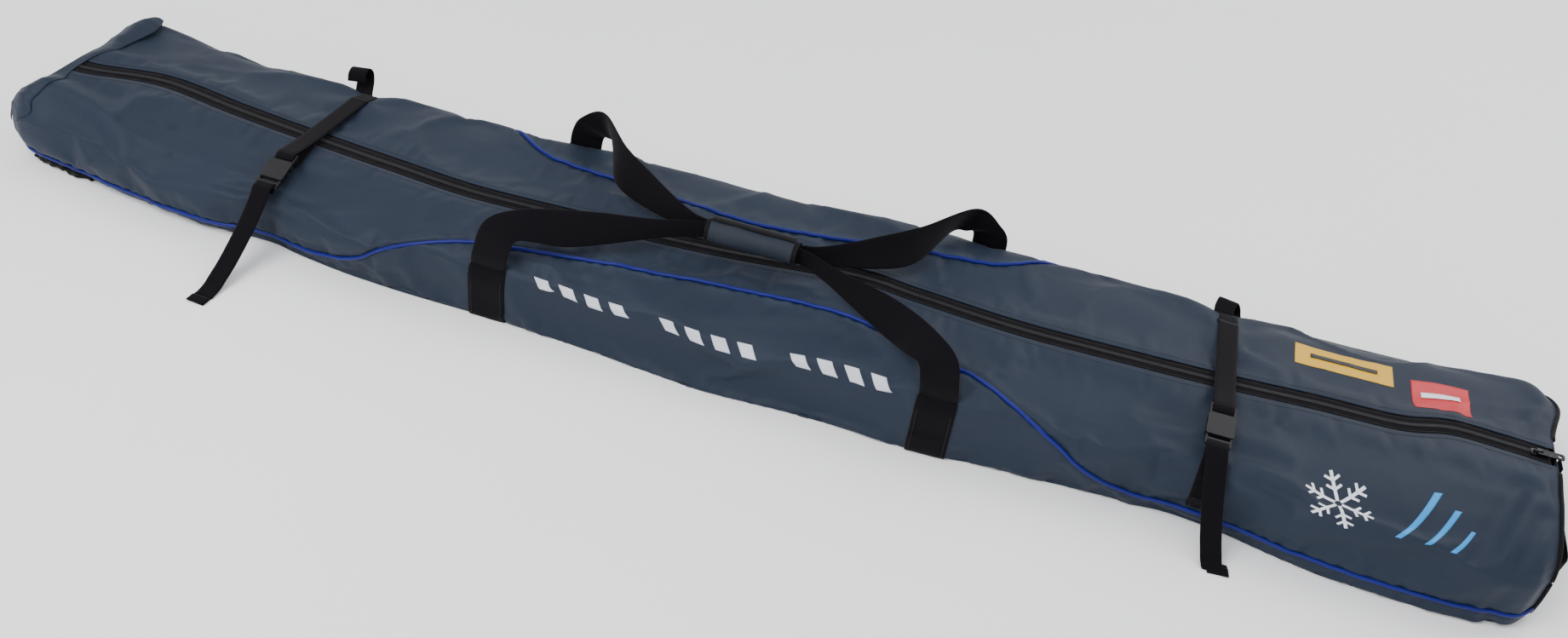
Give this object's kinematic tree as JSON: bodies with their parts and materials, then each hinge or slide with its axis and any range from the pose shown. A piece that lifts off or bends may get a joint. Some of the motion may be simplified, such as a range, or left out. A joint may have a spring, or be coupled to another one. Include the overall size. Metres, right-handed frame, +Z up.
{
  "type": "ski bag",
  "caption": "Long soft ski bag with a full-length zip, two compression straps with side-release buckles, wrap-around carry belts joined by a padded grip, and an end handle.",
  "frame": {"origin": "middle of the underside, on the ground plane below the zip", "axes": "+X along the zip towards the wide end where the slider parks, +Y to the far side, away from the buckles, +Z up"},
  "size_m": [2.1436, 0.4725, 0.1618],
  "materials": {
    "shell_fabric": "coated polyester weave, satin",
    "base_fabric": "heavy coated polyester, matt",
    "piping_blue": "woven piping",
    "zip_tape": "woven tape",
    "zip_coil": "nylon coil",
    "zip_metal": "black lacquered zinc",
    "webbing": "woven polypropylene webbing",
    "buckle_plastic": "moulded acetal",
    "grip_fabric": "padded coated polyester",
    "binding": "grosgrain binding tape"
  },
  "bodies": {
    "bag": {"bottom_panel": "base_fabric", "buckle_body_narrow": "buckle_plastic", "buckle_body_wide": "buckle_plastic", "buckle_insert_narrow": "buckle_plastic", "buckle_insert_wide": "buckle_plastic", "carry_belt_narrow": "webbing", "carry_belt_wide": "webbing", "corner_binding_narrow": "binding", "end_fold_narrow": "shell_fabric", "end_handle_loop": "webbing", "end_panel_narrow": "shell_fabric", "end_panel_wide": "shell_fabric", "end_piping_wide": "binding", "handle_arm_far_narrow": "webbing", "handle_arm_far_wide": "webbing", "handle_arm_near_narrow": "webbing", "handle_arm_near_wide": "webbing", "piping_far": "piping_blue", "piping_near": "piping_blue", "side_panel_far": "shell_fabric", "side_panel_near": "shell_fabric", "strap_far_narrow": "webbing", "strap_far_wide": "webbing", "strap_near_narrow": "webbing", "strap_near_wide": "webbing", "top_panel_far": "shell_fabric", "top_panel_near": "shell_fabric", "zip_coil_far": "zip_coil", "zip_coil_near": "zip_coil", "zip_end_tab": "binding", "zip_stops": "zip_metal", "zip_tape_far": "zip_tape", "zip_tape_near": "zip_tape"},
    "prong_left_narrow": {"buckle_prong_left_narrow": "buckle_plastic"},
    "prong_left_wide": {"buckle_prong_left_wide": "buckle_plastic"},
    "prong_right_narrow": {"buckle_prong_right_narrow": "buckle_plastic"},
    "prong_right_wide": {"buckle_prong_right_wide": "buckle_plastic"},
    "grip": {"grip_bindings": "binding", "grip_sleeve": "grip_fabric", "grip_webbing_far": "webbing", "grip_webbing_near": "webbing"},
    "grip_flap": {"grip_flap": "grip_fabric"},
    "pull_tab": {"zip_pull_tab": "zip_metal"},
    "slider": {"zip_slider": "zip_metal"}
  },
  "joints": [
    {"name": "zip_slide", "type": "slide", "parent": "bag", "child": "slider", "axis": [-0.9999, 0, -0.0124], "range_m": [0, 2.0544]},
    {"name": "pull_tab_swing", "type": "hinge", "parent": "slider", "child": "pull_tab", "pos_m": [1.02759, 0, 0.13232], "axis": [0, -1, 0], "range_deg": [0, 175]},
    {"name": "grip_lift", "type": "slide", "parent": "bag", "child": "grip", "axis": [0, 0, 1], "range_m": [0, 0.1], "deforming": ["handle_arm_far_narrow", "handle_arm_far_wide", "handle_arm_near_narrow", "handle_arm_near_wide"]},
    {"name": "grip_flap_open", "type": "hinge", "parent": "grip", "child": "grip_flap", "pos_m": [0.012, -0.04696, 0.13684], "axis": [1, 0, 0], "range_deg": [0, 100]},
    {"name": "prong_right_narrow_squeeze", "type": "hinge", "parent": "bag", "child": "prong_right_narrow", "pos_m": [-0.6353, -0.09842, 0.10718], "axis": [0, 0.3072, -0.9516], "range_deg": [0, 9], "stiffness_Nm_per_rad": 0.6},
    {"name": "prong_left_narrow_squeeze", "type": "hinge", "parent": "bag", "child": "prong_left_narrow", "pos_m": [-0.6527, -0.09842, 0.10718], "axis": [0, -0.3072, 0.9516], "range_deg": [0, 9], "stiffness_Nm_per_rad": 0.6},
    {"name": "prong_right_wide_squeeze", "type": "hinge", "parent": "bag", "child": "prong_right_wide", "pos_m": [0.6527, -0.098, 0.12411], "axis": [0, 0.2572, -0.9664], "range_deg": [0, 9], "stiffness_Nm_per_rad": 0.6},
    {"name": "prong_left_wide_squeeze", "type": "hinge", "parent": "bag", "child": "prong_left_wide", "pos_m": [0.6353, -0.098, 0.12411], "axis": [0, -0.2572, 0.9664], "range_deg": [0, 9], "stiffness_Nm_per_rad": 0.6}
  ],
  "couplings": [
    {"joint": "prong_left_narrow_squeeze", "follows": "prong_right_narrow_squeeze", "ratio": 1},
    {"joint": "prong_left_wide_squeeze", "follows": "prong_right_wide_squeeze", "ratio": 1}
  ]
}
